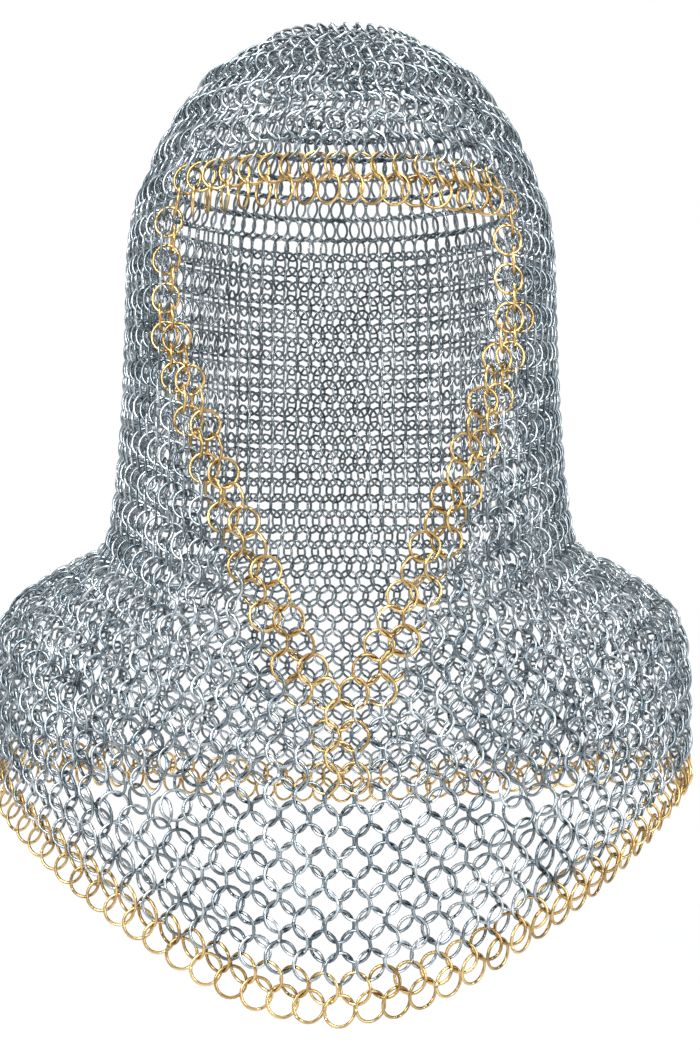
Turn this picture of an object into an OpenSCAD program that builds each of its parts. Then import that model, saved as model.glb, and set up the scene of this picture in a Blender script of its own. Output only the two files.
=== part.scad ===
// Mail coif: a hood with a face opening and a mantle, woven four-in-one from butted wire rings.
// Each ring passes through two rings of the row above and two of the row below.
// Millimetres, +Z up, the face looks along -Y. The origin is the crown of the head under the mail.

/* [Rings] */
// Inside diameter of a ring
ring_in = 12.5; // [12.3:0.1:12.7]
// Diameter of the wire
wire_d = 1.3; // [1:0.05:1.4]
// Gap between the butted ends of a ring
butt_gap = 0.3; // [0.1:0.1:0.6]

/* [Hood] */
// Half of the hood's width at the temples
hood_side = 89; // [87:1:91]
// Reach of the hood in front of the crown
hood_front = 87; // [85:1:89]
// Reach of the hood behind the crown
hood_back = 93; // [91:1:95]
// Depth of the widest level below the crown
temple_depth = 107; // [105:1:109]
// Depth of the brow below the crown
brow_depth = 84; // [82:1:86]
// Depth of the lowest point of the face opening
tip_depth = 273; // [270:1:276]

/* [Mantle] */
// Depth of the fold where the hood meets the shoulder
fold_depth = 205; // [203:1:207]
// Half of the mantle's width at the hem
hem_side = 150; // [148:1:152]
// Reach of the hem in front of the crown
hem_front = 92; // [90:1:94]
// Reach of the hem behind the crown
hem_back = 106; // [104:1:108]
// Depth of the hem's front point
hem_front_depth = 390; // [388:1:392]
// Depth of the hem at the side
hem_side_depth = 333; // [331:1:335]
// Depth of the hem's back point
hem_back_depth = 348; // [346:1:350]

/* [Hidden] */
// Rows are counted from the crown down. A closed row has COLUMNS rings.
COLUMNS = 64;
BROW_ROW = 14;
TIP_ROW = 33;
LAST_ROW = 47;
// Rings of the brow row that the face opening leaves free below
OPEN_COLUMNS = 17;
FREE_RINGS = OPEN_COLUMNS - 1;
// First rows that have an eighth, a quarter, a half and all of the rings of a closed row
FIRST_ROWS = [1, 2, 4, 8];
TAIL_ROWS = 4;
HEM_ROWS = 2;

// Bands of steel rows: name, first row and last row. A band starts at an even row.
BANDS = [
  ["crown", 4, 7], ["upper_hood", 8, 15], ["face", 16, 23], ["neck", 24, 31], ["shoulder", 32, 39], ["mantle", 40, 45]
];
// A band is four groups of rings, and no two rings of a group touch: those that lean to the wearer's left, in
// even rows, those that lean to the right, in odd rows, and of each the even and the odd rings of a row.
GROUPS = [
  for (band = BANDS, odd_row = [0, 1], odd_ring = [0, 1]) [
    str(band[0], odd_row == 0 ? "_left" : "_right", odd_ring == 0 ? "_even_rings" : "_odd_rings"),
    [band[1] + odd_row:2:band[2]],
    odd_ring
  ]
];
FREE_NAMES = [for (i = [1:FREE_RINGS]) str("free_ring_", i)];

ring_size = ring_in + 2 * wire_d;
ring_r = (ring_in + wire_d) / 2;
gap_turn = 360 * butt_gap / (2 * PI * ring_r);
// Sides of the wire: the brass is round, the steel has five flats because most rings are steel.
brass_sides = 16;
steel_sides = 5;

// Height of the mail's middle over the head, and the row spacing at the top of the crown
crown_lift = 4;
first_step = 11;
crown_step = 8.6;
// Rows over the shoulder lie wider apart than the mean.
SHOULDER_ROWS = [27, 37];
shoulder_widening = 1.07;
// The outline grows from an ellipse towards a diamond below this row.
SQUARE_ROW = 31;
hem_squareness = 0.2;

// Lean of the first rows, and of all others from the room that a row has
CROWN_LEANS = [0, 36, 34, 26, 48, 20];
lean_reach = 0.3125;
lean_drop = 0.625;
steepest_lean = 0.88;
slant_rate = 1.65;

// A free ring hangs from two rings of the brow edge.
free_lean = 40;
free_drop = 9.7;
free_reach = 0.5;

// A meridian is a list of [reach, depth] from the crown to the hem.
function dome(reach) = [for (a = [0:3:90]) [reach * sin(a), temple_depth * (1 - cos(a))]];
function bend(a, b, c, d, f) =
  0.5 * (2 * b + (c - a) * f + (2 * a - 5 * b + 4 * c - d) * f * f + (3 * b - a - 3 * c + d) * f * f * f);
function spline(p, steps = 6) = [
  for (i = [1:len(p) - 3], k = [0:steps - 1]) bend(p[i - 1], p[i], p[i + 1], p[i + 2], k / steps)
];
function meridian(reach, points) =
  let (all = concat([[reach, temple_depth - 20], [reach, temple_depth]], points))
    concat(dome(reach), [for (p = spline(all)) if (p.y > temple_depth + 1) p], [points[len(points) - 2]]);

FRONT = meridian(hood_front, [
  [hood_front - 2, 180], [hood_front - 5, 235], [hood_front - 5, tip_depth],
  [hood_front - 1, 320], [hem_front - 2, 365], [hem_front, hem_front_depth], [hem_front + 2, hem_front_depth + 30]
]);
SIDE = meridian(hood_side, [
  [hood_side - 1, 160], [hood_side, fold_depth - 18], [hood_side + 8, fold_depth + 4],
  [hood_side + 32, fold_depth + 17], [hem_side - 9, fold_depth + 36], [hem_side - 1, fold_depth + 64],
  [hem_side, hem_side_depth], [hem_side, hem_side_depth + 30]
]);
BACK = meridian(hood_back, [
  [hood_back - 2, 150], [hood_back - 6, 195], [hood_back - 3, 225],
  [hem_back - 6, 265], [hem_back - 2, 300], [hem_back, hem_back_depth], [hem_back + 1, hem_back_depth + 30]
]);

// Running length along a list of points
function running(m, i = 1, s = 0) =
  i >= len(m) ? [s] : concat([s], running(m, i + 1, s + norm(m[i] - m[i - 1])));
function last(list) = list[len(list) - 1];
function length_at(m, depth) = let (s = running(m)) lookup(depth, [for (i = [0:len(m) - 1]) [m[i].y, s[i]]]);

// Rows and half rows of a meridian, spaced evenly between stations [row, length]
function rows(m, stations) =
  let (
    s = running(m),
    reach = [for (i = [0:len(m) - 1]) [s[i], m[i].x]],
    depth = [for (i = [0:len(m) - 1]) [s[i], m[i].y]]
  )
    [for (k = [0:0.5:LAST_ROW]) let (at = lookup(k, stations)) [lookup(at, reach), lookup(at, depth)]];
function stations(m, more) = concat(
  [[0, 0], [1, first_step], [FIRST_ROWS[3], first_step + (FIRST_ROWS[3] - 1) * crown_step]],
  [[BROW_ROW, length_at(m, brow_depth)]], more, [[LAST_ROW, last(running(m))]]
);
function shoulder_stations(m) =
  let (
    start = length_at(m, brow_depth),
    whole = last(running(m)) - start,
    wide_rows = SHOULDER_ROWS[1] - SHOULDER_ROWS[0],
    wide = wide_rows * shoulder_widening * whole / (LAST_ROW - BROW_ROW),
    near = start + (whole - wide) / (LAST_ROW - BROW_ROW - wide_rows) * (SHOULDER_ROWS[0] - BROW_ROW)
  )
    [[SHOULDER_ROWS[0], near], [SHOULDER_ROWS[1], near + wide]];
FRONT_ROWS = rows(FRONT, stations(FRONT, [[TIP_ROW, length_at(FRONT, tip_depth)]]));
SIDE_ROWS = rows(SIDE, stations(SIDE, shoulder_stations(SIDE)));
BACK_ROWS = rows(BACK, stations(BACK, shoulder_stations(BACK)));

// Power of the level outline, 1 on the hood
function squareness(row) = 1 + hem_squareness * max(0, (row - SQUARE_ROW) / (LAST_ROW - SQUARE_ROW));
function powered(value, power) = sign(value) * pow(abs(value), power);

// Point of the mail's middle surface at a row, half rows too, and a turn from the front centre
function mail_point(row, turn) =
  let (
    i = round(2 * row),
    e = squareness(row),
    w = pow(abs(sin(turn)), 2),
    end = cos(turn) > 0 ? FRONT_ROWS[i] : BACK_ROWS[i]
  ) [
    SIDE_ROWS[i].x * powered(sin(turn), e),
    -end.x * powered(cos(turn), e),
    crown_lift - w * SIDE_ROWS[i].y - (1 - w) * end.y
  ];

// Share of half a round against the turn, and the share at which a column lies
function round_row(row) =
  let (turns = [for (a = [0:5:180]) a], s = running([for (a = turns) mail_point(row, a)]))
    [for (i = [0:len(s) - 1]) [s[i] / last(s), turns[i]]];
ROUNDS = [for (row = [0:0.5:LAST_ROW]) row < 0.5 ? [] : round_row(row)];
function spread(row) = 0.1 * max(0, min(1, (row - 4) / 8, (40 - row) / 24));
function turn_at(row, c) =
  let (w = c > COLUMNS / 2 ? c - COLUMNS : c < -COLUMNS / 2 ? c + COLUMNS : c, f = abs(w) * 2 / COLUMNS)
    sign(w) * lookup(f + spread(row) * sin(360 * f) / (2 * PI), ROUNDS[round(2 * row)]);
function place(row, c) = mail_point(row, turn_at(row, c));

// Rings of a row: how many, and the column at which each lies, counted both ways from the front
function part_row(row) = row < FIRST_ROWS[1] ? 0 : row < FIRST_ROWS[2] ? 1 : row < FIRST_ROWS[3] ? 2 : 3;
function count(row) = COLUMNS / pow(2, 3 - part_row(row));
function step(row) = COLUMNS / count(row);
function column(row, j) =
  let (c = (j + (row - FIRST_ROWS[part_row(row)]) % 2 / 2) * step(row)) c > COLUMNS / 2 ? c - COLUMNS : c;

// Directions on the surface, and the distances to the next ring of the row and to the next row
function unit(v) = v / norm(v);
function across(row, c) = place(row, c + step(row) / 2) - place(row, c - step(row) / 2);
function down(row, c) =
  row < LAST_ROW ? place(row + 0.5, c) - place(row - 0.5, c) : 2 * (place(row, c) - place(row - 0.5, c));
function drop(row, c) = norm(cross(unit(across(row, c)), down(row, c)));

// A ring leans left and right on alternate rows, more where rings crowd, and turns with a slanted column.
function lean(row, c) =
  let (reach = ring_size * lean_reach - max(0, drop(row, c) - ring_size * lean_drop))
    row < len(CROWN_LEANS) ? CROWN_LEANS[row] : asin(min(steepest_lean, reach / norm(across(row, c))));
function ring_axis(row, c) =
  let (
    t = unit(across(row, c)),
    d = down(row, c),
    n = unit(cross(t, -d)),
    a = lean(row, c) * (row % 2 == 0 ? 1 : -1),
    slant = slant_rate * atan2(d * t, drop(row, c))
  )
    cos(a) * n + sin(a) * (cos(slant) * t + sin(slant) * cross(n, t));

// The face opening: straight sides under the brow, then a V down to the tip
function open_half(row) = row <= BROW_ROW || row > TIP_ROW ? -1 : min(OPEN_COLUMNS, TIP_ROW - row) / 2;
function is_open(row, c) = abs(c) < open_half(row);

// Brass rings: the brow, one ring beside the opening and two down the V, the tail and the hem
function is_brass(row, c) =
  row == BROW_ROW ? abs(c) < OPEN_COLUMNS / 2 :
  row > LAST_ROW - HEM_ROWS ? true :
  row > TIP_ROW ? row <= TIP_ROW + TAIL_ROWS && abs(c) < 1 :
  row > BROW_ROW && abs(c) < open_half(row) + (row > TIP_ROW - OPEN_COLUMNS ? 2 : 1);

// One butted wire ring about an axis through a centre
module ring(centre, axis, sides) {
  translate(centre)
    rotate([0, acos(axis.z), atan2(axis.y, axis.x)])
      rotate([0, 0, 90])
        rotate_extrude(angle = 360 - gap_turn, $fn = 24)
          translate([ring_r, 0])
            circle(d = wire_d, $fn = sides);
}

// Woven rings of some rows, steel or brass, on both sides of the front or on one, each ring or every second
module woven(chosen, brass, side = 0, start = 0, every = 1) {
  for (row = chosen, j = [start:every:count(row) - 1]) {
    c = column(row, j);
    if (!is_open(row, c) && is_brass(row, c) == brass && (side == 0 || sign(c) == side))
      ring(place(row, c), ring_axis(row, c), brass ? brass_sides : steel_sides);
  }
}

module crown_rings() {
  color("silver") {
    ring([0, 0, crown_lift], [0, 0, 1], steel_sides);
    woven([1:BANDS[0][1] - 1], false);
  }
}

module steel_group(chosen, odd_ring) {
  color("silver") woven(chosen, false, 0, odd_ring, 2);
}

module brow_edge() {
  color("gold") woven([BROW_ROW], true);
}

module left_face_edge() {
  color("gold") woven([BROW_ROW + 1:TIP_ROW], true, 1);
}

module right_face_edge() {
  color("gold") woven([BROW_ROW + 1:TIP_ROW], true, -1);
}

module throat_tail() {
  color("gold") woven([TIP_ROW + 1:TIP_ROW + TAIL_ROWS], true);
}

module hem_edge(row) {
  color("gold") woven([row], true);
}

// Counted from the wearer's right
module free_ring(i) {
  c = i - (FREE_RINGS + 1) / 2;
  a = place(BROW_ROW, c - 0.5);
  b = place(BROW_ROW, c + 0.5);
  t = unit(b - a);
  n = unit(cross(t, [0, 0, 1]));
  color("gold")
    ring((a + b) / 2 + free_reach * n - [0, 0, free_drop], cos(free_lean) * n - sin(free_lean) * t, brass_sides);
}

crown_rings();
for (group = GROUPS) steel_group(group[1], group[2]);
brow_edge();
left_face_edge();
right_face_edge();
throat_tail();
hem_edge(LAST_ROW - 1);  // upper_hem_edge
hem_edge(LAST_ROW);  // lower_hem_edge
for (i = [1:FREE_RINGS]) free_ring(i);
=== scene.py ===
import math

import bpy
import numpy as np
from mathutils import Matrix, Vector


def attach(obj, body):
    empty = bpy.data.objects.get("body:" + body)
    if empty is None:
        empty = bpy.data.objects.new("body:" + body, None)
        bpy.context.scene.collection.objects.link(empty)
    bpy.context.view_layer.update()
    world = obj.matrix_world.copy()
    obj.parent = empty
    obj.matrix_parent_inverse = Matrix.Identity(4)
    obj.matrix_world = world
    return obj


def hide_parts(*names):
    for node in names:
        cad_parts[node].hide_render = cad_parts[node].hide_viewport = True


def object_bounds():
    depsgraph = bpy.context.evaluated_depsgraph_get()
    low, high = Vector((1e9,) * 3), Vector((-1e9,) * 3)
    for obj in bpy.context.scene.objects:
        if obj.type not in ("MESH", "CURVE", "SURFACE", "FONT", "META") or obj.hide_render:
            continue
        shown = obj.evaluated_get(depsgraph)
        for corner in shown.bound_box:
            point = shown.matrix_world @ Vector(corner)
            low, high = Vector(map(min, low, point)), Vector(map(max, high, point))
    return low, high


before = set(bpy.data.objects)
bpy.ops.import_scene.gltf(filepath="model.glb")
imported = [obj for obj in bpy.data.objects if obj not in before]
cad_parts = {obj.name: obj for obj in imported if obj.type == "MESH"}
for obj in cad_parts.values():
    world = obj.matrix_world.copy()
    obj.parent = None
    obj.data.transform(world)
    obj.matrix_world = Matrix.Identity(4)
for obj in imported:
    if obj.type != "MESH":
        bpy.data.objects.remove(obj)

bl_info = {
    "name": "Mail Coif",
    "version": (1, 0, 0),
    "blender": (4, 5, 0),
    "location": "View3D > Sidebar > Mail Coif",
    "description": "Weaves a mail hood from butted steel and brass wire rings and sets a studio round it",
    "category": "Add Mesh",
}

# The weave is laid out in millimetres and handed to Blender in metres.
MM = 0.001
CAD_LOW, CAD_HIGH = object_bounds()

# Rows are counted from the crown down. A closed row has COLUMNS rings.
COLUMNS = 80
BROW_ROW = 14
TIP_ROW = 37
LAST_ROW = 52
OPEN_COLUMNS = 17
FREE_RINGS = OPEN_COLUMNS - 1
TAIL_ROWS = 4
HEM_ROWS = 2
# First rows that have an eighth, a quarter, a half and all of the rings of a closed row
FIRST_ROWS = (1, 2, 4, 8)

# The frame's bands of steel rows, with the rows of this weave that lie where each band lies
BANDS = (("crown", 4, 7), ("upper_hood", 8, 15), ("face", 16, 25), ("neck", 26, 34), ("shoulder", 35, 43),
         ("mantle", 44, 50))
# The frame's brass edges of the body, with their rows and the side of the face they keep to
EDGES = (("brow_edge", BROW_ROW, BROW_ROW, 0), ("left_face_edge", BROW_ROW + 1, TIP_ROW, 1),
         ("right_face_edge", BROW_ROW + 1, TIP_ROW, -1), ("throat_tail", TIP_ROW + 1, TIP_ROW + TAIL_ROWS, 0),
         ("upper_hem_edge", LAST_ROW - 1, LAST_ROW - 1, 0), ("lower_hem_edge", LAST_ROW, LAST_ROW, 0))

# Height of the mail's middle over the head, and the row spacing at the top of the crown
CROWN_LIFT = 1.0
FIRST_STEP = 9.3
CROWN_STEP = 7.9
# The rows over the shoulder, and their spacing against the mean of all rows under the brow
SHOULDER_ROWS = (30, 41)
SHOULDER_WIDENING = 1.07
# From this row down the outline goes from an ellipse to one with slimmer corners.
SLIM_ROW = 35
HEM_SLIMNESS = 0.2

# Width of the front columns against the others, by row
STRETCH_ROWS = (0, 8, 14, 22, 29, 35, 40, 46, 52)
STRETCH = (1.0, 1.1, 1.38, 1.42, 1.5, 1.45, 1.3, 1.15, 1.05)
# Share of a half row's columns that are front columns, by row, and the share over which the widths blend
FRONT_ROWS = (14, 37, 52)
FRONT_SHARE = (0.24, 0.2, 0.2)
FRONT_BLEND = 0.05

# Lean of the rings in the first rows of the crown, in degrees
CROWN_LEANS = (0, 36, 34, 26, 48, 20)
# In the other rows a ring may reach this far, in ring sizes, and less where the rows are further apart.
LEAN_REACH = 0.3125
CLOSE_ROWS = 0.625
STEEPEST_LEAN = 0.88
# Turn of the lean against the slant of the column
SLANT_TURN = 1.65
# Lean of the free rings in degrees, and how far they hang under and in front of the brow's rings
FREE_LEAN = 40.0
FREE_DROP = 8.3
FREE_REACH = 0.4

# Settling: the share of its size that the wire starts at and gains, and the room asked for in the second half
THIN_WIRE = 0.3
WIRE_GROWTH = 1.2
SPARE_ROOM = 0.05
# Shares of the overlap, of the way back onto the surface and of the way back along it that a round makes good
PUSH_SHARE = 0.8
LIFT_SHARE = 0.05
SLIDE_SHARE = 0.001

# The first random seed of each kind of piece
STEEL_SEED = 1
BRASS_SEED = 40
FREE_SEED = 60

# The camera stands level with the middle of the photograph, in front of the middle of the hood.
CAMERA_AHEAD = 0.632
CAMERA_ASIDE = 0.0039
CAMERA_BELOW = 0.2105
SIGHT_ANGLE = 40.0
# Half of the floor's width, its depth under the mail, and how far out it goes over into the background
FLOOR_HALF = 3.0
FLOOR_BELOW = 0.3
FLOOR_FADE = (0.5, 1.3)
# The soft boxes look at the aim: name, place, width and height, and power in watts.
LAMP_AIM = (0, 0, -0.2)
LAMPS = (("key", (-0.9, -1.2, 0.5), (0.5, 0.9), 26), ("fill", (1.1, -1.0, 0.1), (0.4, 1.0), 14),
         ("top", (0.0, -0.1, 1.1), (0.9, 0.5), 14), ("rear", (0.0, 1.3, 0.4), (1.0, 0.6), 6))
SKY_COLOUR = (0.86, 0.92, 1.0, 1)
SKY_STRENGTH = 0.55


def catmull(points, steps=8):
    """Points on a smooth curve through all but the first and last of the points given."""
    out = []
    for i in range(1, len(points) - 2):
        a, b, c, d = (np.array(points[k], float) for k in (i - 1, i, i + 1, i + 2))
        for k in range(steps):
            f = k / steps
            out.append(0.5 * (2 * b + (c - a) * f + (2 * a - 5 * b + 4 * c - d) * f**2
                              + (3 * b - a - 3 * c + d) * f**3))
    out.append(np.array(points[-2], float))
    return np.array(out)


def running(points):
    """Running length along a list of points."""
    return np.concatenate([[0.0], np.cumsum(np.linalg.norm(np.diff(points, axis=0), axis=1))])


class Weave:
    """The mail's middle surface and the place and axis of each ring on it, in millimetres."""

    def __init__(self, sizes):
        self.sizes = sizes
        mm = {key: getattr(sizes, key) / MM for key in (
            "hood_side", "hood_front", "hood_back", "temple_depth", "brow_depth", "tip_depth", "fold_depth",
            "hem_side", "hem_front", "hem_back", "hem_front_depth", "hem_side_depth", "hem_back_depth")}
        self.mm = mm
        self.size = sizes.ring_outside / MM
        # Points of (reach, depth) on the outlines under the temples. The last one only gives the end its way.
        front = self.meridian(mm["hood_front"], [
            (mm["hood_front"] - 2, 180), (mm["hood_front"] - 5, 235), (mm["hood_front"] - 5, mm["tip_depth"]),
            (mm["hood_front"] - 1, 320), (mm["hem_front"] - 2, 365), (mm["hem_front"], mm["hem_front_depth"]),
            (mm["hem_front"] + 2, mm["hem_front_depth"] + 30)])
        side = self.meridian(mm["hood_side"], [
            (mm["hood_side"] + 2, 160), (mm["hood_side"] + 6, mm["fold_depth"] - 20),
            (mm["hood_side"] + 12, mm["fold_depth"]), (mm["hood_side"] + 32, mm["fold_depth"] + 11),
            (mm["hem_side"] - 8, mm["fold_depth"] + 26), (mm["hem_side"] - 1, mm["fold_depth"] + 48),
            (mm["hem_side"], mm["hem_side_depth"]), (mm["hem_side"], mm["hem_side_depth"] + 30)])
        back = self.meridian(mm["hood_back"], [
            (mm["hood_back"] - 2, 150), (mm["hood_back"] - 6, 195), (mm["hood_back"] - 3, 225),
            (mm["hem_back"] - 6, 265), (mm["hem_back"] - 2, 300), (mm["hem_back"], mm["hem_back_depth"]),
            (mm["hem_back"] + 1, mm["hem_back_depth"] + 30)])
        self.front = self.rows(front, [(TIP_ROW, self.length_at(front, mm["tip_depth"]))])
        self.side = self.rows(side, self.shoulder(side))
        self.back = self.rows(back, self.shoulder(back))

    def meridian(self, reach, points):
        """A line of (reach, depth) from the crown over the temple's height to the hem."""
        temple = self.mm["temple_depth"]
        a = np.radians(np.arange(0, 91, 3))
        dome = np.stack([reach * np.sin(a), temple * (1 - np.cos(a))], 1)
        curve = catmull([(reach, temple - 20), (reach, temple)] + points)
        return np.concatenate([dome, curve[curve[:, 1] > temple + 1]])

    def length_at(self, line, depth):
        """Running length of a line at a depth."""
        return float(np.interp(depth, line[:, 1], running(line)))

    def shoulder(self, line):
        """Stations that spread the rows over the shoulder."""
        start = self.length_at(line, self.mm["brow_depth"])
        whole = running(line)[-1] - start
        wide_rows = SHOULDER_ROWS[1] - SHOULDER_ROWS[0]
        wide = wide_rows * SHOULDER_WIDENING * whole / (LAST_ROW - BROW_ROW)
        near = start + (whole - wide) / (LAST_ROW - BROW_ROW - wide_rows) * (SHOULDER_ROWS[0] - BROW_ROW)
        return [(SHOULDER_ROWS[0], near), (SHOULDER_ROWS[1], near + wide)]

    def rows(self, line, more):
        """A function from a row, whole or not, to (reach, depth)."""
        length = running(line)
        stations = [(0, 0), (1, FIRST_STEP), (FIRST_ROWS[3], FIRST_STEP + (FIRST_ROWS[3] - 1) * CROWN_STEP),
                    (BROW_ROW, self.length_at(line, self.mm["brow_depth"]))] + more + [(LAST_ROW, length[-1])]
        at_row = np.array([p[0] for p in stations], float)
        at_length = np.array([p[1] for p in stations], float)

        def where(row):
            s = np.interp(row, at_row, at_length)
            return np.interp(s, length, line[:, 0]), np.interp(s, length, line[:, 1])

        return where

    def point(self, row, turn):
        """Points of the middle surface at a row and at turns from the front centre, in degrees."""
        turn = np.radians(turn)
        power = 1 + HEM_SLIMNESS * max(0.0, (row - SLIM_ROW) / (LAST_ROW - SLIM_ROW))
        side, front, back = self.side(row), self.front(row), self.back(row)
        sin, cos = np.sin(turn), np.cos(turn)
        ahead = cos > 0
        reach = np.where(ahead, front[0], back[0])
        depth = np.where(ahead, front[1], back[1])
        w = sin**2
        x = side[0] * np.sign(sin) * np.abs(sin) ** power
        y = -reach * np.sign(cos) * np.abs(cos) ** power
        return np.stack([x, y, CROWN_LIFT - w * side[1] - (1 - w) * depth], -1)

    def share(self, row, part):
        """Share of the half round that the first part of its columns fills."""
        stretch = np.interp(row, STRETCH_ROWS, STRETCH)
        edge = np.interp(row, FRONT_ROWS, FRONT_SHARE)
        grid = np.linspace(0, 1, 201)
        width = 1 + (stretch - 1) * 0.5 * (1 - np.tanh((grid - edge) / FRONT_BLEND))
        filled = np.concatenate([[0.0], np.cumsum((width[1:] + width[:-1]) / 2)])
        return np.interp(part, grid, filled / filled[-1])

    def place(self, row, column):
        """Points at columns, counted both ways from the front."""
        column = (np.asarray(column, float) + COLUMNS / 2) % COLUMNS - COLUMNS / 2
        turns = np.arange(0, 181, 2.0)
        length = running(self.point(row, turns))
        part = np.abs(column) * 2 / COLUMNS
        turn = np.interp(self.share(row, part), length / length[-1], turns)
        return self.point(row, np.sign(column) * turn)

    def columns(self, row):
        """Columns of a row's rings, and the step between them."""
        part = max(k for k in range(len(FIRST_ROWS)) if row >= FIRST_ROWS[k])
        count = COLUMNS // 2 ** (len(FIRST_ROWS) - 1 - part)
        step = COLUMNS / count
        column = (np.arange(count) + (row - FIRST_ROWS[part]) % 2 / 2) * step
        return np.where(column > COLUMNS / 2, column - COLUMNS, column), step

    def rings(self, row):
        """Columns, centres, axes and outward directions of a row's rings."""
        column, step = self.columns(row)
        centre = self.place(row, column)
        across = self.place(row, column + step / 2) - self.place(row, column - step / 2)
        if row < LAST_ROW:
            down = self.place(row + 0.5, column) - self.place(row - 0.5, column)
        else:
            down = 2 * (centre - self.place(row - 0.5, column))
        pitch = np.linalg.norm(across, axis=1)
        t = across / pitch[:, None]
        n = np.cross(t, -down)
        n /= np.linalg.norm(n, axis=1)[:, None]
        drop = np.linalg.norm(np.cross(t, down), axis=1)
        if row < len(CROWN_LEANS):
            lean = np.full(len(column), math.radians(CROWN_LEANS[row]))
        else:
            room = self.size * LEAN_REACH - np.maximum(0, drop - self.size * CLOSE_ROWS)
            lean = np.arcsin(np.minimum(STEEPEST_LEAN, room / pitch))
        lean = lean * (1 if row % 2 == 0 else -1)
        slant = SLANT_TURN * np.arctan2((down * t).sum(1), drop)
        axis = np.cos(lean)[:, None] * n + np.sin(lean)[:, None] * (
            np.cos(slant)[:, None] * t + np.sin(slant)[:, None] * np.cross(n, t))
        return column, centre, axis, n

    def free_ring(self, i):
        """Centre, axis and outward direction of a free ring, counted from the wearer's right."""
        c = i - (FREE_RINGS + 1) / 2
        a, b = self.place(BROW_ROW, np.array([c - 0.5, c + 0.5]))
        t = (b - a) / np.linalg.norm(b - a)
        n = np.cross(t, (0, 0, 1))
        n /= np.linalg.norm(n)
        lean = math.radians(FREE_LEAN)
        return (a + b) / 2 + FREE_REACH * n - (0, 0, FREE_DROP), math.cos(lean) * n - math.sin(lean) * t, n

    def woven(self):
        """Row, column, centre and axis of every ring, settled. A free ring's row is its number below zero."""
        found = [(np.zeros(1), np.zeros(1), np.array([(0, 0, CROWN_LIFT)]), np.array([(0, 0, 1.0)]),
                  np.array([(0, 0, 1.0)]))]
        for row in range(1, LAST_ROW + 1):
            column, centre, axis, out = self.rings(row)
            kept = np.abs(column) >= open_half(row)
            found.append((np.full(kept.sum(), row), column[kept], centre[kept], axis[kept], out[kept]))
        for i in range(1, FREE_RINGS + 1):
            centre, axis, out = self.free_ring(i)
            found.append((np.array([-i]), np.zeros(1), centre[None], axis[None], out[None]))
        row, column, centre, axis, out = (np.concatenate(part) for part in zip(*found))
        radius = (self.sizes.ring_outside - self.sizes.wire) / 2 / MM
        settle(centre, axis, out, radius, self.sizes.wire / MM, self.sizes.settling)
        return row, column, centre, axis


def ring_frame(axis):
    """Two directions across each axis."""
    up = np.tile((0.0, 0.0, 1.0), (len(axis), 1))
    up[np.abs(axis[:, 2]) > 0.95] = (1.0, 0.0, 0.0)
    u = np.cross(up, axis)
    u /= np.linalg.norm(u, axis=1)[:, None]
    return u, np.cross(axis, u)


def near_pairs(centre, reach):
    """Pairs of points that lie within reach of each other."""
    square = (centre**2).sum(1)
    found = []
    for first in range(0, len(centre), 512):
        block = slice(first, first + 512)
        apart = square[block, None] + square[None] - 2 * centre[block] @ centre.T
        a, b = np.where(apart < reach**2)
        later = a + first < b
        found.append(np.stack([a[later] + first, b[later]]))
    return np.concatenate(found, 1)


def closest(centre, axis, p, q, radius):
    """Closest points of the circles p and q, the direction between them and the distance."""
    steps = 24
    angles = np.arange(steps) * 2 * math.pi / steps
    u, v = ring_frame(axis)
    between = centre[p] - centre[q]
    along_u, along_v = (between * u[p]).sum(1)[:, None], (between * v[p]).sum(1)[:, None]
    height = (between * axis[q]).sum(1)[:, None]
    tilt_u, tilt_v = (u[p] * axis[q]).sum(1)[:, None], (v[p] * axis[q]).sum(1)[:, None]
    cos, sin = np.cos(angles)[None], np.sin(angles)[None]
    whole = (between**2).sum(1)[:, None] + radius**2 + 2 * radius * (along_u * cos + along_v * sin)
    off = height + radius * (tilt_u * cos + tilt_v * sin)
    apart = (np.sqrt(np.maximum(whole - off**2, 1e-9)) - radius) ** 2 + off**2
    pair, best = np.arange(len(p)), apart.argmin(1)
    here, before, after = apart[pair, best], apart[pair, best - 1], apart[pair, (best + 1) % steps]
    shift = np.clip(0.5 * (before - after) / np.maximum(before - 2 * here + after, 1e-9), -0.5, 0.5)
    angle = (angles[best] + shift * angles[1])[:, None]
    point = centre[p] + radius * (np.cos(angle) * u[p] + np.sin(angle) * v[p])
    reach = point - centre[q]
    flat = reach - (reach * axis[q]).sum(1)[:, None] * axis[q]
    other = centre[q] + radius * flat / np.linalg.norm(flat, axis=1)[:, None]
    gap = point - other
    distance = np.linalg.norm(gap, axis=1)
    return point, other, gap / np.maximum(distance, 1e-6)[:, None], distance


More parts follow.
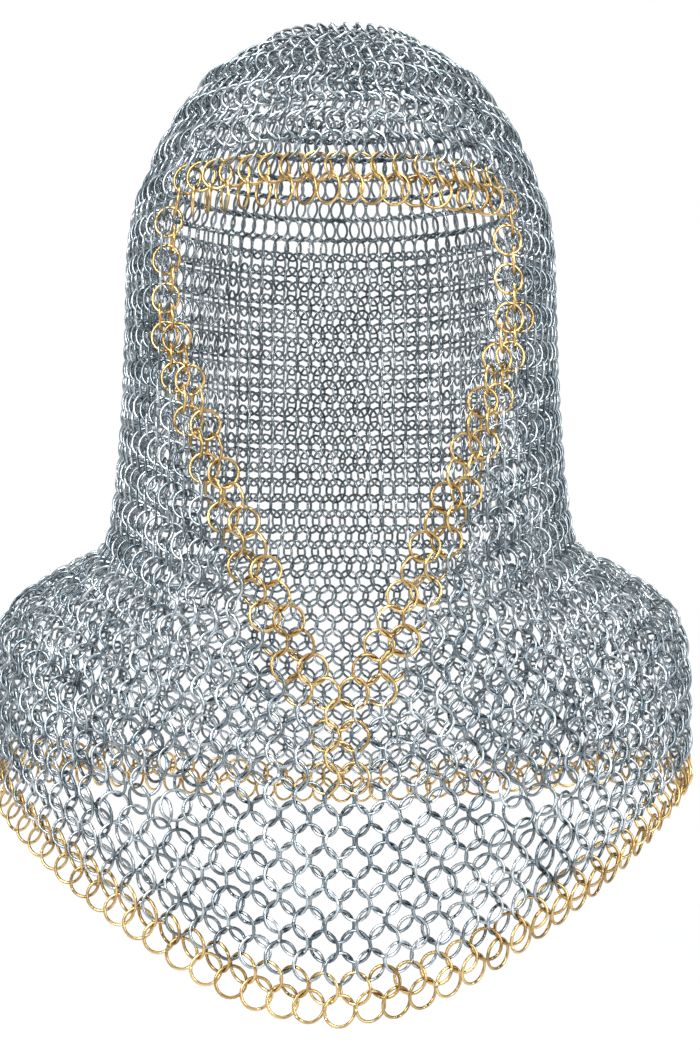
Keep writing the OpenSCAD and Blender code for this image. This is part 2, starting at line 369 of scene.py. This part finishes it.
def settle(centre, axis, out, radius, wire, rounds):
    """Moves and tilts the rings in small steps to part their wires. The wire starts thin and grows."""
    home = centre.copy()
    p, q = near_pairs(centre, 2 * radius + wire + 1)
    inertia = radius**2 / 2
    for step in range(rounds):
        spare = SPARE_ROOM if step > rounds / 2 else 0
        wanted = wire * min(1.0, THIN_WIRE + WIRE_GROWTH * step / rounds) + spare
        point, other, push, distance = closest(centre, axis, p, q, radius)
        k = distance < wanted
        a, b, push = p[k], q[k], push[k]
        turn_a, turn_b = np.cross(point[k] - centre[a], push), np.cross(other[k] - centre[b], push)
        weight = 2 + ((turn_a**2).sum(1) + (turn_b**2).sum(1)) / inertia
        force = (PUSH_SHARE * (wanted - distance[k]) / weight)[:, None]
        move, turn = np.zeros_like(centre), np.zeros_like(centre)
        np.add.at(move, a, force * push)
        np.add.at(move, b, -force * push)
        np.add.at(turn, a, force * turn_a / inertia)
        np.add.at(turn, b, -force * turn_b / inertia)
        back = home - centre
        lift = (back * out).sum(1)[:, None] * out
        centre += move + LIFT_SHARE * lift + SLIDE_SHARE * (back - lift)
        axis += np.cross(turn, axis)
        axis /= np.linalg.norm(axis, axis=1)[:, None]


def open_half(row):
    """Half of the face opening's width in columns, or -1 where the row is closed."""
    return -1 if row <= BROW_ROW or row > TIP_ROW else min(OPEN_COLUMNS, TIP_ROW - row) / 2


def is_brass(row, column):
    """True for the rings of the brow, the opening's edge, the tail and the hem."""
    across = np.abs(column)
    if row == BROW_ROW:
        return across < OPEN_COLUMNS / 2
    if row > LAST_ROW - HEM_ROWS:
        return np.ones(len(column), bool)
    if row > TIP_ROW:
        return (row <= TIP_ROW + TAIL_ROWS) & (across < 1)
    if row > BROW_ROW:
        return across < open_half(row) + (2 if row > TIP_ROW - OPEN_COLUMNS else 1)
    return np.zeros(len(column), bool)


def ring_mesh(name, centres, axes, sizes, seed):
    """A mesh of butted wire rings, with a tone for each ring and the inner side of its wire marked for
    painted shade.
    """
    rng = np.random.default_rng(seed)
    centres, axes = np.atleast_2d(centres) * MM, np.atleast_2d(axes)
    count = len(centres)
    segments, sides = sizes.ring_segments, sizes.wire_sides
    radius = (sizes.ring_outside - sizes.wire) / 2
    wire = sizes.wire / 2
    half_gap = sizes.butt_gap / 2 / radius

    u, v = ring_frame(axes)
    # The wire's ends meet anywhere on the ring.
    joint = rng.uniform(0, 2 * math.pi, count)
    along = joint[:, None] + np.linspace(half_gap, 2 * math.pi - half_gap, segments + 1)[None, :]
    around = np.arange(sides) * 2 * math.pi / sides
    out = np.cos(along)[..., None] * u[:, None] + np.sin(along)[..., None] * v[:, None]
    mid = centres[:, None] + radius * out
    points = (mid[:, :, None] + wire * (
        np.cos(around)[None, None, :, None] * out[:, :, None]
        + np.sin(around)[None, None, :, None] * axes[:, None, None]))
    verts = points.reshape(-1, 3)

    one = np.arange((segments + 1) * sides).reshape(segments + 1, sides)
    a, b = one[:-1], one[1:]
    quads = np.stack([a, b, np.roll(b, -1, 1), np.roll(a, -1, 1)], -1).reshape(-1, 4)
    quads = (quads[None] + (np.arange(count) * one.size)[:, None, None]).reshape(-1, 4)
    caps = np.stack([one[0][::-1], one[-1]])
    caps = (caps[None] + (np.arange(count) * one.size)[:, None, None]).reshape(-1, sides)

    mesh = bpy.data.meshes.new(name)
    mesh.vertices.add(len(verts))
    mesh.vertices.foreach_set("co", verts.astype(np.float32).ravel())
    corners = np.concatenate([quads.ravel(), caps.ravel()]).astype(np.int32)
    mesh.loops.add(len(corners))
    mesh.loops.foreach_set("vertex_index", corners)
    starts = np.concatenate([np.arange(len(quads)) * 4, len(quads) * 4 + np.arange(len(caps)) * sides])
    mesh.polygons.add(len(starts))
    mesh.polygons.foreach_set("loop_start", starts.astype(np.int32))
    mesh.update(calc_edges=True)
    mesh.shade_smooth()

    tone = mesh.attributes.new("ring_tone", "FLOAT", "POINT")
    tone.data.foreach_set("value", np.repeat(rng.uniform(0, 1, count), one.size).astype(np.float32))
    # Painted shade: the side of the wire that faces the ring's middle, where rings lie over each other, is
    # marked here, and the wire finish darkens it.
    inner = mesh.attributes.new("painted_inner_shade", "FLOAT", "POINT")
    painted_shade_side = np.tile(np.clip(-np.cos(around), 0, 1), count * (segments + 1))
    inner.data.foreach_set("value", painted_shade_side.astype(np.float32))
    # Places along and across the wire in millimetres, set apart so that no two rings have the same lines
    apart = 7.0 * np.arange(count)[:, None, None]
    way = np.stack(np.broadcast_arrays(
        along[:, :, None] * radius / MM, wire / MM * np.cos(around)[None, None, :],
        wire / MM * np.sin(around)[None, None, :] + apart), -1)
    places = mesh.attributes.new("wire_way", "FLOAT_VECTOR", "POINT")
    places.data.foreach_set("vector", way.astype(np.float32).ravel())
    return mesh


def link(tree, a, b):
    """Joins two sockets of a node tree."""
    tree.links.new(a, b)


def wire_finish():
    """Colour, roughness and height of drawn wire, with a tone for each ring, stained patches and painted
    shade on the inner sides of the wire.
    """
    group = bpy.data.node_groups.get("wire_finish")
    if group:
        return group
    group = bpy.data.node_groups.new("wire_finish", "ShaderNodeTree")
    face = group.interface
    for name, kind, default in (
        ("Bright", "NodeSocketColor", (0.8, 0.8, 0.8, 1)),
        ("Body", "NodeSocketColor", (0.5, 0.5, 0.5, 1)),
        # Colour of the stained patches and of the painted shade on the wire's inner side
        ("Stain And Shade", "NodeSocketColor", (0.1, 0.1, 0.1, 1)),
        # Strength of the stained patches and of the painted shade on the wire's inner side
        ("Tarnish And Shade", "NodeSocketFloat", 0.5),
        ("Smoothest", "NodeSocketFloat", 0.18),
        ("Roughest", "NodeSocketFloat", 0.4),
        ("Patch Scale", "NodeSocketFloat", 120.0),
    ):
        face.new_socket(name, in_out="INPUT", socket_type=kind).default_value = default
    for name, kind in (("Color", "NodeSocketColor"), ("Roughness", "NodeSocketFloat"),
                       ("Height", "NodeSocketFloat")):
        face.new_socket(name, in_out="OUTPUT", socket_type=kind)
    nodes = group.nodes
    start, end = nodes.new("NodeGroupInput"), nodes.new("NodeGroupOutput")

    def node(kind, **values):
        made = nodes.new(kind)
        for key, value in values.items():
            setattr(made, key, value)
        return made

    tone = node("ShaderNodeAttribute", attribute_name="ring_tone")
    # Mark of the wire's inner side, which gets painted shade
    painted_shade_side = node("ShaderNodeAttribute", attribute_name="painted_inner_shade")
    way = node("ShaderNodeAttribute", attribute_name="wire_way")
    place = node("ShaderNodeTexCoord")
    patch = node("ShaderNodeTexNoise")
    patch.inputs["Detail"].default_value = 4.0
    link(group, place.outputs["Object"], patch.inputs["Vector"])
    link(group, start.outputs["Patch Scale"], patch.inputs["Scale"])

    # Fine lines that the drawing die leaves along the wire
    stretch = node("ShaderNodeMapping")
    stretch.inputs["Scale"].default_value = (0.12, 9.0, 9.0)
    link(group, way.outputs["Vector"], stretch.inputs["Vector"])
    lines = node("ShaderNodeTexNoise")
    lines.inputs["Scale"].default_value = 1.0
    lines.inputs["Detail"].default_value = 3.0
    link(group, stretch.outputs["Vector"], lines.inputs["Vector"])

    def ramp(source, low, high, floor=0.0, ceiling=1.0):
        made = node("ShaderNodeMapRange")
        made.inputs["From Min"].default_value = low
        made.inputs["From Max"].default_value = high
        made.inputs["To Min"].default_value = floor
        made.inputs["To Max"].default_value = ceiling
        link(group, source, made.inputs["Value"])
        return made.outputs["Result"]

    def maths(operation, a, b):
        made = node("ShaderNodeMath", operation=operation, use_clamp=True)
        for k, value in enumerate((a, b)):
            if isinstance(value, float):
                made.inputs[k].default_value = value
            else:
                link(group, value, made.inputs[k])
        return made.outputs[0]

    def mixed(factor, a, b):
        made = node("ShaderNodeMix", data_type="RGBA")
        link(group, factor, made.inputs["Factor"])
        link(group, a, made.inputs["A"])
        link(group, b, made.inputs["B"])
        return made.outputs["Result"]

    bright = maths("MULTIPLY", tone.outputs["Fac"], ramp(lines.outputs["Fac"], 0.35, 0.7, floor=0.5))
    body = mixed(bright, start.outputs["Body"], start.outputs["Bright"])
    stain = maths("MULTIPLY", ramp(patch.outputs["Fac"], 0.42, 0.66), start.outputs["Tarnish And Shade"])
    # Painted shade on the wire's inner side, where the rings lie over each other; the noise patches above are
    # stains
    painted_recess_shade = maths("MULTIPLY", painted_shade_side.outputs["Fac"], start.outputs["Tarnish And Shade"])
    stain_and_shade = maths("MAXIMUM", stain, maths("MULTIPLY", painted_recess_shade, 0.8))
    link(group, mixed(stain_and_shade, body, start.outputs["Stain And Shade"]), end.inputs["Color"])
    dull = maths("ADD", maths("MULTIPLY", stain_and_shade, 0.7), ramp(lines.outputs["Fac"], 0.3, 0.75, ceiling=0.5))
    rough = node("ShaderNodeMix", data_type="FLOAT")
    link(group, dull, rough.inputs["Factor"])
    link(group, start.outputs["Smoothest"], rough.inputs["A"])
    link(group, start.outputs["Roughest"], rough.inputs["B"])
    link(group, rough.outputs["Result"], end.inputs["Roughness"])
    height = maths("ADD", maths("MULTIPLY", lines.outputs["Fac"], 0.7),
                   maths("MULTIPLY", patch.outputs["Fac"], 0.3))
    link(group, height, end.inputs["Height"])
    return group


def wire_material(name, bright, body, stain_and_shade, tarnish_and_shade, smoothest, roughest, patch_scale):
    """Plated or brass wire: metal shaded from the wire finish group."""
    material = bpy.data.materials.get(name)
    if material:
        return material
    material = bpy.data.materials.new(name)
    material.use_nodes = True
    tree = material.node_tree
    tree.nodes.clear()
    output = tree.nodes.new("ShaderNodeOutputMaterial")
    shader = tree.nodes.new("ShaderNodeBsdfPrincipled")
    shader.inputs["Metallic"].default_value = 1.0
    finish = tree.nodes.new("ShaderNodeGroup")
    finish.node_tree = wire_finish()
    for key, value in (("Bright", (*bright, 1)), ("Body", (*body, 1)), ("Stain And Shade", (*stain_and_shade, 1)),
                       ("Tarnish And Shade", tarnish_and_shade), ("Smoothest", smoothest), ("Roughest", roughest),
                       ("Patch Scale", patch_scale)):
        finish.inputs[key].default_value = value
    bump = tree.nodes.new("ShaderNodeBump")
    bump.inputs["Strength"].default_value = 0.25
    bump.inputs["Distance"].default_value = 0.00008
    link(tree, finish.outputs["Color"], shader.inputs["Base Color"])
    link(tree, finish.outputs["Roughness"], shader.inputs["Roughness"])
    link(tree, finish.outputs["Height"], bump.inputs["Height"])
    link(tree, bump.outputs["Normal"], shader.inputs["Normal"])
    link(tree, shader.outputs["BSDF"], output.inputs["Surface"])
    return material


def steel():
    """Zinc-plated steel wire in the scene's colours."""
    colours = bpy.context.scene.mail_colours
    # Its stain amount also sets the strength of the painted shade on the wires' inner sides.
    return wire_material("zinc_plated_steel", colours.steel_bright, colours.steel_body, colours.steel_stain_and_shade,
                         tarnish_and_shade=0.75, smoothest=0.12, roughest=0.36, patch_scale=160.0)


def brass():
    """Drawn brass wire in the scene's colours."""
    colours = bpy.context.scene.mail_colours
    # Its stain amount also sets the strength of the painted shade on the wires' inner sides.
    return wire_material("drawn_brass", colours.brass_bright, colours.brass_body, colours.brass_stain_and_shade,
                         tarnish_and_shade=0.6, smoothest=0.14, roughest=0.38, patch_scale=130.0)


# Weaves that were worked out, by their sizes
WOVEN = {}


def shown_keys(group):
    """Names of a property group's own values."""
    return [key for key in group.bl_rna.properties.keys() if key not in ("rna_type", "name")]


def woven_mail(context):
    """The settled weave of the scene's sizes, worked out once."""
    sizes = context.scene.mail_sizes
    key = tuple(getattr(sizes, name) for name in shown_keys(sizes))
    if key not in WOVEN:
        row, column, centre, axis = Weave(sizes).woven()
        brass_rings = np.concatenate([is_brass(r, column[row == r]) for r in range(LAST_ROW + 1)]
                                     + [np.ones(FREE_RINGS, bool)])
        WOVEN[key] = row, column, centre, axis, brass_rings
    return WOVEN[key]


def woven_piece(context, node, wanted, material, seed, body="mail"):
    """Adds a piece with the wanted rings on its body, in place of the frame's node."""
    row, column, centre, axis, brass_rings = woven_mail(context)
    kept = wanted(row, column, brass_rings)
    name = node + "_wire"
    mesh = ring_mesh(name, centre[kept], axis[kept], context.scene.mail_sizes, seed)
    mesh.materials.append(material)
    piece = bpy.data.objects.new(name, mesh)
    context.scene.collection.objects.link(piece)
    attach(piece, body)
    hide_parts(node)


def length_property(name, text, value):
    """A length in metres."""
    return bpy.props.FloatProperty(name=name, description=text, default=value, unit="LENGTH", precision=4)


def count_property(name, text, value, least):
    """A whole number."""
    return bpy.props.IntProperty(name=name, description=text, default=value, min=least)


def colour_property(name, text, value):
    """A colour without alpha."""
    return bpy.props.FloatVectorProperty(name=name, description=text, default=value, size=3, min=0, max=1,
                                         subtype="COLOR")


class MailSizes(bpy.types.PropertyGroup):
    """Sizes of the rings and of the hood."""

    ring_outside: length_property("Ring Outside", "Outside diameter of a ring", 0.013)
    wire: length_property("Wire", "Diameter of the wire", 0.00125)
    butt_gap: length_property("Butt Gap", "Gap between the ends of a ring's wire", 0.00012)
    ring_segments: count_property("Ring Segments", "Faces along a ring", 22, 8)
    wire_sides: count_property("Wire Sides", "Faces around the wire", 6, 4)
    settling: count_property("Settling", "Rounds in which the rings settle clear of each other", 260, 1)
    hood_side: length_property("Hood Side", "Half of the hood's width at the temples", 0.089)
    hood_front: length_property("Hood Front", "Reach of the hood in front of the crown", 0.087)
    hood_back: length_property("Hood Back", "Reach of the hood behind the crown", 0.093)
    temple_depth: length_property("Temple Depth", "Depth of the widest level below the crown", 0.104)
    brow_depth: length_property("Brow Depth", "Depth of the brow below the crown", 0.075)
    tip_depth: length_property("Tip Depth", "Depth of the lowest point of the face opening", 0.276)
    fold_depth: length_property("Fold Depth", "Depth of the fold where the hood meets the shoulder", 0.222)
    hem_side: length_property("Hem Side", "Half of the mantle's width at the hem", 0.15)
    hem_front: length_property("Hem Front", "Reach of the hem in front of the crown", 0.092)
    hem_back: length_property("Hem Back", "Reach of the hem behind the crown", 0.106)
    hem_front_depth: length_property("Hem Front Depth", "Depth of the hem's front point", 0.395)
    hem_side_depth: length_property("Hem Side Depth", "Depth of the hem at the side", 0.32)
    hem_back_depth: length_property("Hem Back Depth", "Depth of the hem's back point", 0.347)


class MailColours(bpy.types.PropertyGroup):
    """Colours of the wire and of the studio."""

    steel_bright: colour_property("Steel Bright", "Clean zinc plating", (0.78, 0.84, 0.87))
    steel_body: colour_property("Steel Body", "Plating as most rings show it", (0.17, 0.215, 0.245))
    # In the recesses this colour is painted shade on the wires' inner sides; in the noise patches it is dull
    # plating.
    steel_stain_and_shade: colour_property("Steel Dark", "Dull plating in patches, painted shade in the recesses", (0.02, 0.032, 0.04))
    brass_bright: colour_property("Brass Bright", "Rubbed brass", (0.9, 0.66, 0.3))
    brass_body: colour_property("Brass Body", "Brass as most rings show it", (0.4, 0.25, 0.08))
    # In the recesses this colour is painted shade on the wires' inner sides; in the noise patches it is
    # tarnished brass.
    brass_stain_and_shade: colour_property("Brass Dark", "Tarnish in the recesses", (0.07, 0.03, 0.008))
    floor: colour_property("Floor", "Pale floor", (0.86, 0.86, 0.86))


class MAIL_OT_steel(bpy.types.Operator):
    """Weave the crown and the bands of steel rings"""

    bl_idname = "mail.steel"
    bl_label = "Steel Mail"

    def execute(self, context):
        woven_piece(context, "crown_rings",
                    lambda row, column, edge: (row >= 0) & (row < BANDS[0][1]) & ~edge,
                    steel(), STEEL_SEED)
        # Even rows lean to the wearer's left, odd ones to the right. A group has every second ring of a row.
        groups = [(f"{band}_{lean}_{which}_rings", first, last, odd_row, odd_ring)
                  for band, first, last in BANDS
                  for odd_row, lean in enumerate(("left", "right"))
                  for odd_ring, which in enumerate(("even", "odd"))]
        for seed, (node, first, last, odd_row, odd_ring) in enumerate(groups, STEEL_SEED + 1):
            woven_piece(context, node, lambda row, column, edge: (
                (row >= first) & (row <= last) & ~edge & (row % 2 == odd_row)
                & (np.floor(column / np.where(row < FIRST_ROWS[3], 2, 1)) % 2 == odd_ring)),
                steel(), seed)
        return {"FINISHED"}


class MAIL_OT_brass(bpy.types.Operator):
    """Weave the brass rings of the brow, the face opening, the tail and the hem"""

    bl_idname = "mail.brass"
    bl_label = "Brass Edges"

    def execute(self, context):
        for seed, (node, first, last, side) in enumerate(EDGES, BRASS_SEED):
            woven_piece(context, node, lambda row, column, edge: (
                (row >= first) & (row <= last) & edge & (side * column >= 0)),
                brass(), seed)
        return {"FINISHED"}


class MAIL_OT_free(bpy.types.Operator):
    """Hang the free brass rings from the brow edge"""

    bl_idname = "mail.free"
    bl_label = "Free Rings"

    def execute(self, context):
        for i in range(1, FREE_RINGS + 1):
            node = f"free_ring_{i}"
            woven_piece(context, node, lambda row, column, edge: row == -i,
                        brass(), FREE_SEED + i, body=node)
        return {"FINISHED"}


def soft_box(name, place, aim, size, power):
    """Adds an area lamp at a place, turned to a point."""
    data = bpy.data.lights.new(name, "AREA")
    data.shape = "RECTANGLE"
    data.size, data.size_y = size
    data.energy = power
    lamp = bpy.data.objects.new(name, data)
    bpy.context.scene.collection.objects.link(lamp)
    direction = np.array(aim) - np.array(place)
    lamp.location = place
    flat = math.hypot(direction[0], direction[1])
    lamp.rotation_euler = (math.pi / 2 + math.atan2(direction[2], flat), 0,
                           math.atan2(direction[1], direction[0]) - math.pi / 2)


def maths_node(tree, operation, a, b):
    """Output of a math node on two sockets."""
    made = tree.nodes.new("ShaderNodeMath")
    made.operation = operation
    link(tree, a, made.inputs[0])
    link(tree, b, made.inputs[1])
    return made.outputs[0]


def lay_floor(scene):
    """Adds a plain pale floor that goes over into the white background away from the object."""
    h = FLOOR_HALF
    mesh = bpy.data.meshes.new("floor")
    mesh.from_pydata([(-h, -h, 0), (h, -h, 0), (h, h, 0), (-h, h, 0)], [], [(0, 1, 2, 3)])
    floor = bpy.data.objects.new("floor", mesh)
    floor.location.z = CAD_LOW[2] - FLOOR_BELOW
    scene.collection.objects.link(floor)
    material = bpy.data.materials.new("pale_floor")
    material.use_nodes = True
    tree = material.node_tree
    tree.nodes.clear()
    output = tree.nodes.new("ShaderNodeOutputMaterial")
    paint = tree.nodes.new("ShaderNodeBsdfDiffuse")
    paint.inputs["Color"].default_value = (*scene.mail_colours.floor, 1)
    glow = tree.nodes.new("ShaderNodeEmission")
    mix = tree.nodes.new("ShaderNodeMixShader")
    sight = tree.nodes.new("ShaderNodeLightPath")
    place, away = tree.nodes.new("ShaderNodeTexCoord"), tree.nodes.new("ShaderNodeVectorMath")
    away.operation = "LENGTH"
    link(tree, place.outputs["Object"], away.inputs[0])
    fade = tree.nodes.new("ShaderNodeMapRange")
    for key, value in zip(("From Min", "From Max", "To Min", "To Max"), (*FLOOR_FADE, 0.6, 1.0)):
        fade.inputs[key].default_value = value
    link(tree, away.outputs["Value"], fade.inputs["Value"])
    share = maths_node(tree, "MULTIPLY", sight.outputs["Is Camera Ray"], fade.outputs["Result"])
    link(tree, share, mix.inputs["Fac"])
    link(tree, paint.outputs[0], mix.inputs[1])
    link(tree, glow.outputs[0], mix.inputs[2])
    link(tree, mix.outputs[0], output.inputs["Surface"])
    mesh.materials.append(material)


def white_world():
    """A world that lights softly and is seen as white, also in the wire's reflections."""
    world = bpy.data.worlds.new("studio")
    world.use_nodes = True
    tree = world.node_tree
    tree.nodes.clear()
    output = tree.nodes.new("ShaderNodeOutputWorld")
    seen, lit = tree.nodes.new("ShaderNodeBackground"), tree.nodes.new("ShaderNodeBackground")
    seen.inputs["Color"].default_value = (1, 1, 1, 1)
    seen.inputs["Strength"].default_value = 1.0
    lit.inputs["Color"].default_value = SKY_COLOUR
    lit.inputs["Strength"].default_value = SKY_STRENGTH
    mix = tree.nodes.new("ShaderNodeMixShader")
    sight = tree.nodes.new("ShaderNodeLightPath")
    glossy = maths_node(tree, "MAXIMUM", sight.outputs["Is Camera Ray"], sight.outputs["Is Glossy Ray"])
    clear = maths_node(tree, "MAXIMUM", glossy, sight.outputs["Is Transmission Ray"])
    link(tree, clear, mix.inputs["Fac"])
    link(tree, lit.outputs[0], mix.inputs[1])
    link(tree, seen.outputs[0], mix.inputs[2])
    link(tree, mix.outputs[0], output.inputs["Surface"])
    return world


def set_camera(scene):
    """A level camera in front of the hood, in the scene."""
    data = bpy.data.cameras.new("camera")
    data.sensor_fit = "VERTICAL"
    data.sensor_height = 24
    data.lens = data.sensor_height / 2 / math.tan(math.radians(SIGHT_ANGLE) / 2)
    data.clip_start = 0.01
    camera = bpy.data.objects.new("camera", data)
    camera.location = (CAMERA_ASIDE, -CAMERA_AHEAD, -CAMERA_BELOW)
    camera.rotation_euler = (math.pi / 2, 0, 0)
    scene.collection.objects.link(camera)
    return camera


class MAIL_OT_stage(bpy.types.Operator):
    """Set the floor, the lamps, the world and the camera"""

    bl_idname = "mail.stage"
    bl_label = "Studio"

    def execute(self, context):
        scene = context.scene
        lay_floor(scene)
        scene.world = white_world()
        for name, place, size, power in LAMPS:
            soft_box(name, place, LAMP_AIM, size, power)
        scene.camera = set_camera(scene)
        scene.view_settings.view_transform = "Standard"
        return {"FINISHED"}


class MAIL_PT_panel(bpy.types.Panel):
    """Sizes, colours and the steps of the mail coif"""

    bl_idname = "MAIL_PT_panel"
    bl_label = "Mail Coif"
    bl_space_type = "VIEW_3D"
    bl_region_type = "UI"
    bl_category = "Mail Coif"

    def draw(self, context):
        for group in (context.scene.mail_sizes, context.scene.mail_colours):
            for key in shown_keys(group):
                self.layout.prop(group, key)
        for operator in OPERATORS:
            self.layout.operator(operator.bl_idname)


OPERATORS = (MAIL_OT_steel, MAIL_OT_brass, MAIL_OT_free, MAIL_OT_stage)
CLASSES = (MailSizes, MailColours) + OPERATORS + (MAIL_PT_panel,)


def register():
    for cls in CLASSES:
        bpy.utils.register_class(cls)
    bpy.types.Scene.mail_sizes = bpy.props.PointerProperty(type=MailSizes)
    bpy.types.Scene.mail_colours = bpy.props.PointerProperty(type=MailColours)


def unregister():
    del bpy.types.Scene.mail_colours
    del bpy.types.Scene.mail_sizes
    for cls in reversed(CLASSES):
        bpy.utils.unregister_class(cls)


def main():
    """Registers the add-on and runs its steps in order."""
    register()
    bpy.ops.mail.stage()
    bpy.ops.mail.steel()
    bpy.ops.mail.brass()
    bpy.ops.mail.free()


if __name__ == "__main__":
    main()
